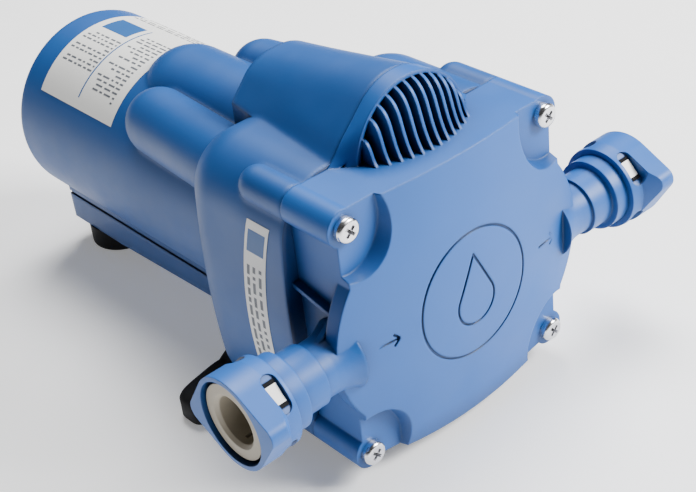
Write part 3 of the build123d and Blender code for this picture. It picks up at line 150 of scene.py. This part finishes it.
def spread_value(tree, factor, low, high):
    """A value between low and high that follows the factor."""
    node = tree.nodes.new("ShaderNodeMapRange")
    node.inputs["From Min"].default_value = NOISE_LOW
    node.inputs["From Max"].default_value = NOISE_HIGH
    node.inputs["To Min"].default_value = low
    node.inputs["To Max"].default_value = high
    tree.links.new(factor, node.inputs["Value"])
    return node.outputs["Result"]


def finish_surface(tree, bsdf, height, strength, distance, edge):
    """Bump over softened edges: distance and edge are in millimetres."""
    bevel = tree.nodes.new("ShaderNodeBevel")
    bevel.samples = NODE_SAMPLES
    bevel.inputs["Radius"].default_value = edge * MM
    bump = tree.nodes.new("ShaderNodeBump")
    bump.inputs["Strength"].default_value = strength
    bump.inputs["Distance"].default_value = distance * MM
    tree.links.new(height, bump.inputs["Height"])
    tree.links.new(bevel.outputs["Normal"], bump.inputs["Normal"])
    tree.links.new(bump.outputs["Normal"], bsdf.inputs["Normal"])


def paint_shade_in_hollows(tree, colour, reach):
    """The colour with painted shade: darker in gaps and hollows narrower than the reach in
    millimetres.
    """
    node = tree.nodes.new("ShaderNodeAmbientOcclusion")
    node.samples = NODE_SAMPLES
    node.inputs["Distance"].default_value = reach * MM
    tree.links.new(colour, node.inputs["Color"])
    return node.outputs["Color"]


def moulded(
    name, colour, rough, grain=900, depth=0.03, edge=0.5, spread=0.06, gloss=0.45, hollow_shade=0.0
):
    """Moulded plastic or rubber: drifting colour, uneven gloss, fine grain, and painted shade in
    hollows.
    """
    mat, tree, bsdf = shader(name)
    shown = ramp_colour(tree, noise(tree, DRIFT_SCALE), colour, spread)
    if hollow_shade:
        shown = paint_shade_in_hollows(tree, shown, hollow_shade)
    tree.links.new(shown, bsdf.inputs["Base Color"])
    patchy = noise(tree, GLOSS_SCALE, 5)
    uneven = spread_value(tree, patchy, rough - ROUGH_LESS, rough + ROUGH_MORE)
    tree.links.new(uneven, bsdf.inputs["Roughness"])
    finish_surface(tree, bsdf, noise(tree, grain, 2), BUMP, depth, edge)
    bsdf.inputs["Specular IOR Level"].default_value = gloss
    return mat


def metal(name, colour, rough, stretch=None, edge=0.2):
    """Turned, drawn or cast metal with uneven gloss."""
    mat, tree, bsdf = shader(name)
    shown = ramp_colour(tree, noise(tree, METAL_DRIFT_SCALE), colour, METAL_SPREAD)
    tree.links.new(shown, bsdf.inputs["Base Color"])
    streaks = noise(tree, METAL_GLOSS_SCALE, 4, stretch)
    uneven = spread_value(tree, streaks, rough - METAL_ROUGH_LESS, rough + METAL_ROUGH_MORE)
    tree.links.new(uneven, bsdf.inputs["Roughness"])
    grain = noise(tree, METAL_GRAIN_SCALE, 3, stretch)
    finish_surface(tree, bsdf, grain, METAL_BUMP, METAL_GRAIN_DEPTH, edge)
    bsdf.inputs["Metallic"].default_value = 1.0
    return mat


# One look for each material slot, and one each for the housing and the cover. The three blue looks
# have painted shade in their hollows, and the housing's is also a painted-shade copy of the blue,
# darker all over.
MATERIALS = {
    "housing": moulded(
        "housing_shaded_look", SHADED_BLUE, BLUE_ROUGH, edge=HOUSING_EDGE, hollow_shade=HOLLOW_SHADE_REACH
    ),
    "cover": moulded("cover_look", BLUE, BLUE_ROUGH, edge=COVER_EDGE, hollow_shade=HOLLOW_SHADE_REACH),
    "blue_plastic": moulded("blue_plastic_look", BLUE, BLUE_ROUGH, hollow_shade=HOLLOW_SHADE_REACH),
    "collet_grey": moulded("collet_grey_look", STONE, 0.45),
    "white_plastic": moulded("white_plastic_look", WHITE, 0.38),
    "black_plastic": moulded("black_plastic_look", BLACK, 0.45),
    "natural_plastic": moulded("natural_plastic_look", NATURAL, 0.42),
    "black_rubber": moulded(
        "black_rubber_look", BLACK, 0.62, grain=500, depth=0.05, gloss=0.15
    ),
    "screw_steel": metal("screw_steel_look", BRIGHT, 0.22),
    "steel": metal("steel_look", STEEL, 0.34, (1, 8, 1)),
    "spring_steel": metal("spring_steel_look", BRIGHT, 0.3),
    "lamination_steel": metal("lamination_look", IRON, 0.5, (1, 30, 1)),
    "ferrite": moulded("ferrite_look", IRON, 0.6, grain=700),
    "copper": metal("copper_look", COPPER, 0.32, (1, 12, 1)),
    "zinc": metal("zinc_look", ZINC, 0.45),
    "carbon": moulded("carbon_look", CARBON, 0.5, grain=600),
}
paper = moulded("paper_look", PAPER, 0.35, grain=300, depth=0.01, edge=0.05, spread=0.03)
ink = moulded("ink_look", INK, 0.4, grain=300, depth=0.01, edge=0.02, spread=0.1)
band_ink = moulded("band_ink_look", BAND_INK, 0.4, grain=300, depth=0.01, edge=0.02)
# Black look for sheets of painted shade at the gaps beside the latch tabs
shade = moulded("tab_gap_shade_look", BLACK, 0.8, grain=500, gloss=0.04)

# The two nodes whose look isn't their slot's
OWN_LOOK = {"rear_housing": "housing", "front_cover": "cover"}
for part in frame["record"]["subparts"]:
    node = frame["nodes"][part["node"]]
    for slot in node.material_slots:
        slot.material = MATERIALS[OWN_LOOK.get(part["node"], part["material_slot"])]


def add_object(name, data):
    """A new object with this data, linked to the scene."""
    obj = bpy.data.objects.new(name, data)
    bpy.context.scene.collection.objects.link(obj)
    return obj


def finish_piece(name, mesh, mat, smooth=True):
    """A piece with this mesh and material that rides on the housing."""
    for face in mesh.polygons:
        face.use_smooth = smooth
    mesh.materials.append(mat)
    obj = add_object(name, mesh)
    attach(obj, "housing")
    return obj


def build(name, verts, faces, mat, smooth=True):
    """A piece on the housing, from points in millimetres."""
    mesh = bpy.data.meshes.new(name)
    mesh.from_pydata([tuple(c * MM for c in v) for v in verts], [], faces)
    mesh.update()
    return finish_piece(name, mesh, mat, smooth)


def patches(name, rects, place, mat, step=2.5):
    """One mesh of many patches: rects are (u0, u1, v0, v1), and place gives the point of (u, v).

    Each patch is cut into cells no larger than the step, so that it follows the surface.
    """
    verts, faces = [], []
    for u0, u1, v0, v1 in rects:
        across = max(1, math.ceil(abs(u1 - u0) / step))
        along = max(1, math.ceil(abs(v1 - v0) / step))
        first = len(verts)
        for i in range(across + 1):
            for j in range(along + 1):
                u = u0 + (u1 - u0) * i / across
                v = v0 + (v1 - v0) * j / along
                verts.append(place(u, v))
        for i in range(across):
            for j in range(along):
                a = first + i * (along + 1) + j
                faces.append((a, a + 1, a + along + 2, a + along + 1))
    return build(name, verts, faces, mat)


def on_shell(proud):
    """Places (u, v) on the motor shell.

    u runs back from the lug faces, and v runs round from the top to the left.
    """
    radius = SHELL_R + proud

    def place(u, v):
        turn = v / SHELL_R
        return (-radius * math.sin(turn), FACE_Y + u, AXIS_Z + radius * math.cos(turn))

    return place


ROW_END = 1.5
WORD_GAP = (0.7, 1.4)
SHORT_ROW_CHANCE = 0.06


def text_rows(rng, u0, u1, v0, v1, pitch, height, words):
    """Rows of short dashes that stand for print, some of them short rows."""
    rects = []
    rows = int(abs(v1 - v0) / pitch)
    for row in range(rows):
        v = v0 + (row + 0.5) * pitch
        u = u0
        while u < u1 - ROW_END:
            length = rng.uniform(*words)
            end = min(u + length, u1)
            rects.append((u, end, v, v + height))
            u = end + rng.uniform(*WORD_GAP)
            if rng.random() < SHORT_ROW_CHANCE:
                break
    return rects


# The label on the motor shell. Each block of print has its limits along u and v, the pitch of its
# rows, the height of a dash and the range of its length.
LABEL = (137.5, 184.0, -32.0, 35.0)
LABEL_PRINT = (
    (142, 158, -4, 30, 1.9, 0.7, (1.2, 4.0)),
    (162, 182, 4, 22, 1.9, 0.7, (1.0, 3.0)),
    (142, 182, -26, -12, 2.4, 0.8, (1.5, 5.0)),
)
LABEL_RULE = (160.5, 161.2, -8, 31)
LABEL_BLOCK = (164, 180, -8, 1.5)
PRINT_STEP = 3.0

rng = random.Random(4)
patches("rating_label", [LABEL], on_shell(PROUD), paper)
rows = []
for block in LABEL_PRINT:
    rows += text_rows(rng, *block)
patches("rating_label_print", rows, on_shell(INK_PROUD), ink, step=PRINT_STEP)
patches(
    "rating_label_band",
    [LABEL_RULE, LABEL_BLOCK],
    on_shell(INK_PROUD),
    band_ink,
    step=PRINT_STEP,
)

# The body's side wall: a wide bow between two round corners, with heights from the motor axis
BOW_R = 309.9
BOW_X = -260.8
CORNER_R = 19.0
CORNER = (28.74, 28.1)
BOW_END = 29.94
# The label on that wall: its front edge bows forwards about a height a little under the axis
STRIP_TOP = 32.7
STRIP_LENGTH = 58
STRIP_WIDTH = 10.3
STRIP_FRONT = 30.9
STRIP_BOW = 5.2
STRIP_BOW_DROP = 8
STRIP_BOW_REACH = 40.5
STRIP_STEP = 1.5
STRIP_BLOCK = (0.12, 0.88, 3, 11)
# Its columns of dashes, with limits along v and the ranges of their lengths and gaps
STRIP_COLUMNS = (0.18, 0.46, 0.72)
COLUMN_WIDTH = 0.13
COLUMN_START = 16.0
COLUMN_LAST = 53
COLUMN_END = 54
STRIP_WORDS = (1.2, 4.2)
STRIP_GAP = (0.8, 1.6)


def side_x(z):
    """How far out the body's side wall is, at a height over the motor axis."""
    if abs(z) < BOW_END:
        return BOW_X + math.sqrt(BOW_R**2 - z**2)
    return CORNER[0] + math.sqrt(CORNER_R**2 - (abs(z) - CORNER[1]) ** 2)


def on_strip(proud):
    """Places (u, v) on the side strip: u from 0 to 1 across it, v in mm down from its top."""

    def place(u, v):
        z = STRIP_TOP - v
        front = STRIP_FRONT - STRIP_BOW * ((z + STRIP_BOW_DROP) / STRIP_BOW_REACH) ** 2
        return (-side_x(z) - proud, FACE_Y + front + STRIP_WIDTH * u, AXIS_Z + z)

    return place


patches(
    "side_strip_label",
    [(0, 1, 0, STRIP_LENGTH)],
    on_strip(PROUD),
    paper,
    step=STRIP_STEP,
)
dashes = []
for column in STRIP_COLUMNS:
    v = COLUMN_START
    while v < COLUMN_LAST:
        end = v + rng.uniform(*STRIP_WORDS)
        dashes.append((column, column + COLUMN_WIDTH, v, min(end, COLUMN_END)))
        v = end + rng.uniform(*STRIP_GAP)
patches("side_strip_print", dashes, on_strip(INK_PROUD), ink, step=STRIP_STEP)
patches(
    "side_strip_band",
    [STRIP_BLOCK],
    on_strip(INK_PROUD),
    band_ink,
    step=STRIP_STEP,
)

# The front feet, with places as (out from the middle, back from the lug faces)
PAD_MIDDLE = (52.2, 66.3)
PAD_HALF = (11.0, 6.4)
PAD_SQUARENESS = 4
PAD_TURNS = 96
FOOT_HOLE = (52.0, 66.3)
FOOT_HOLE_R = 2.6
# The pad's top rises towards the body from this distance out and height
PAD_EDGE = (61.0, 9.1)
PAD_SLOPE = 0.2
# Loops of the pad's side: inset, and height over the floor or drop under the top
PAD_LOOPS = (
    (0.9, 0.0, None),
    (0.0, 0.9, None),
    (0.0, None, 1.2),
    (0.4, None, 0.35),
    (1.3, None, 0.0),
)
# The cuff's outline as (out from the middle, up from the floor), and its two sides
CUFF = ((46.0, 6.0), (46.0, 10.9), (35.0, 18.6), (35.0, 6.0))
CUFF_SIDES = (60.0, 72.6)
CUFF_EDGE_R = 1.6


def pad_top(x):
    """Height of the pad's sloped top."""
    return PAD_EDGE[1] + PAD_SLOPE * (PAD_EDGE[0] - x)


def foot(name, side, replaced):
    """Rubber foot: a round-cornered pad with a sloped top, and a cuff that climbs onto the body."""
    bm = bmesh.new()
    rings = []
    for i in range(PAD_TURNS):
        angle = 2 * math.pi * i / PAD_TURNS
        cosine, sine = math.cos(angle), math.sin(angle)
        ring = []
        for inset, height, drop in PAD_LOOPS:
            half_x, half_y = PAD_HALF[0] - inset, PAD_HALF[1] - inset
            power = abs(cosine / half_x) ** PAD_SQUARENESS
            power += abs(sine / half_y) ** PAD_SQUARENESS
            reach = power ** (-1 / PAD_SQUARENESS)
            x = PAD_MIDDLE[0] + reach * cosine
            z = height if drop is None else pad_top(x) - drop
            ring.append(bm.verts.new((side * x, FACE_Y + PAD_MIDDLE[1] + reach * sine, z)))
        x = FOOT_HOLE[0] + FOOT_HOLE_R * cosine
        for z in (pad_top(x), 0.0):
            ring.append(bm.verts.new((side * x, FACE_Y + FOOT_HOLE[1] + FOOT_HOLE_R * sine, z)))
        rings.append(ring)
    for i in range(PAD_TURNS):
        here, after = rings[i], rings[(i + 1) % PAD_TURNS]
        for j in range(len(here)):
            k = (j + 1) % len(here)
            bm.faces.new((here[j], after[j], after[k], here[k]))
    walls = []
    for y in CUFF_SIDES:
        walls.append([bm.verts.new((side * x, FACE_Y + y, z)) for x, z in CUFF])
    bm.faces.new(walls[0])
    bm.faces.new(list(reversed(walls[1])))
    for j in range(len(CUFF)):
        k = (j + 1) % len(CUFF)
        bm.faces.new((walls[0][j], walls[1][j], walls[1][k], walls[0][k]))
    cuff_verts = set(walls[0] + walls[1])
    cuff_edges = [edge for edge in bm.edges if cuff_verts.issuperset(edge.verts)]
    bmesh.ops.bevel(
        bm, geom=cuff_edges, offset=CUFF_EDGE_R, segments=4, profile=0.5, affect="EDGES"
    )
    bmesh.ops.recalc_face_normals(bm, faces=bm.faces)
    bmesh.ops.scale(bm, vec=(MM, MM, MM), verts=bm.verts)
    mesh = bpy.data.meshes.new(name)
    bm.to_mesh(mesh)
    bm.free()
    piece = finish_piece(name, mesh, MATERIALS["black_rubber"])
    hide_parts(replaced)


foot("foot_boot_left", -1, "front_foot_left")
foot("foot_boot_right", 1, "front_foot_right")

# The ports' axis, and the latch tabs about it: how far out they start and end, how far their tops
# are from the axis, and where the painted shade of the gap at each end of a tab starts and ends
PORT_Y = -87.045
PORT_Z = 50.0
TAB_TURNS = (45, 135, 225, 315)
TAB_X = (73.35, 77.25)
TAB_TOP = 13.23
TAB_END = (2.9, 4.2)


def tab_gap_shade(name, side):
    """Black sheets of painted shade for the gaps in the four latch pockets of one port."""
    verts, faces = [], []
    for turn in TAB_TURNS:
        sine, cosine = math.sin(math.radians(turn)), math.cos(math.radians(turn))
        for end in (-1, 1):
            first = len(verts)
            for x, corner in ((0, 0), (1, 0), (1, 1), (0, 1)):
                across = end * TAB_END[corner]
                y = PORT_Y - cosine * TAB_TOP + sine * across
                z = PORT_Z + sine * TAB_TOP + cosine * across
                verts.append((side * TAB_X[x], y, z))
            faces.append((first, first + 1, first + 2, first + 3))
    build(name, verts, faces, shade, smooth=False)


tab_gap_shade("outlet_tab_gap_shade", 1)
tab_gap_shade("inlet_tab_gap_shade", -1)

# The springs, each copied as a coil in place of its solid: the node, the body of the piece that it
# pushes, the axis along the spring, and which end of its box along the axis is the seat
SPRINGS = (
    ("brush_spring_left", "left_brush", 0, 0),
    ("brush_spring_right", "right_brush", 0, 1),
    ("switch_spring", "switch_rod", 1, 1),
)
for node_name, body, axis, seat in SPRINGS:
    solid = frame["nodes"][node_name]
    coil = add_object(node_name + "_coil", solid.data.copy())
    coil.matrix_world = solid.matrix_world.copy()
    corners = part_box(node_name)
    ends = []
    for corner in (corners[seat], corners[1 - seat]):
        point = [0.0, 0.0, 0.0]
        point[axis] = corner[axis]
        ends.append(point)
    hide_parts(node_name)
    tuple(ends[0])
    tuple(ends[1])
    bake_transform(coil)

# Floor: pale, a hair under the feet, and lit a little from within so that it stays pale
FLOOR_HALF = 3
FLOOR_DROP = 0.0002
FLOOR_GLOW = 0.27
WHITE_LIGHT = (1, 1, 1, 1)
floor_look = moulded(
    "floor_look", FLOOR_GREY, 0.8, grain=40, depth=0.02, edge=0.01, spread=0.01
)
floor_shader = floor_look.node_tree.nodes["Principled BSDF"]
floor_shader.inputs["Emission Color"].default_value = WHITE_LIGHT
floor_shader.inputs["Emission Strength"].default_value = FLOOR_GLOW
mesh = bpy.data.meshes.new("floor")
corners = [
    (FLOOR_HALF * x, FLOOR_HALF * y, 0) for x, y in ((-1, -1), (1, -1), (1, 1), (-1, 1))
]
mesh.from_pydata(corners, [], [(0, 1, 2, 3)])
mesh.materials.append(floor_look)
floor = add_object("floor", mesh)
floor.location = (0, 0, -FLOOR_DROP)

# Studio light: a dim white room, and two large soft boxes
ROOM_LIGHT = 0.06
# Each soft box: name, place, the point it faces, width and height, and watts
SOFT_BOXES = (
    ("key_light", (0.70, -0.75, 0.75), (0, -0.03, 0.06), (0.5, 0.5), 33.0),
    ("top_light", (0.35, 0.25, 1.1), (0, 0.03, 0.06), (0.6, 0.6), 22.0),
)
world = bpy.data.worlds.new("studio")
bpy.context.scene.world = world
world.use_nodes = True
room = world.node_tree.nodes["Background"]
room.inputs["Color"].default_value = WHITE_LIGHT
room.inputs["Strength"].default_value = ROOM_LIGHT


def soft_box(name, spot, target, size, power):
    """An area light at the spot that faces the target."""
    light = bpy.data.lights.new(name, "AREA")
    light.shape = "RECTANGLE"
    light.size, light.size_y = size
    light.energy = power
    obj = add_object(name, light)
    obj.location = spot
    obj.rotation_euler = (Vector(target) - Vector(spot)).to_track_quat("-Z", "Y").to_euler()


for soft in SOFT_BOXES:
    soft_box(*soft)

# Camera at the photograph's place, solved from the cover screws and the ports
EYE = (-0.23853, -0.343465, 0.29934)
RIGHT = Vector((0.73891, -0.66610, -0.10156))
UP = Vector((0.43385, 0.35502, 0.82809))
BACK = Vector((-0.51554, -0.65595, 0.55132))
LENS = 72.4
SENSOR_WIDTH = 36.0
NEAR, FAR = 0.01, 20
camera_data = bpy.data.cameras.new("camera")
camera_data.lens = LENS
camera_data.sensor_width = SENSOR_WIDTH
camera_data.clip_start = NEAR
camera_data.clip_end = FAR
camera = add_object("camera", camera_data)
turn = Matrix((RIGHT, UP, BACK)).transposed().to_4x4()
camera.matrix_world = Matrix.Translation(EYE) @ turn
bpy.context.scene.camera = camera
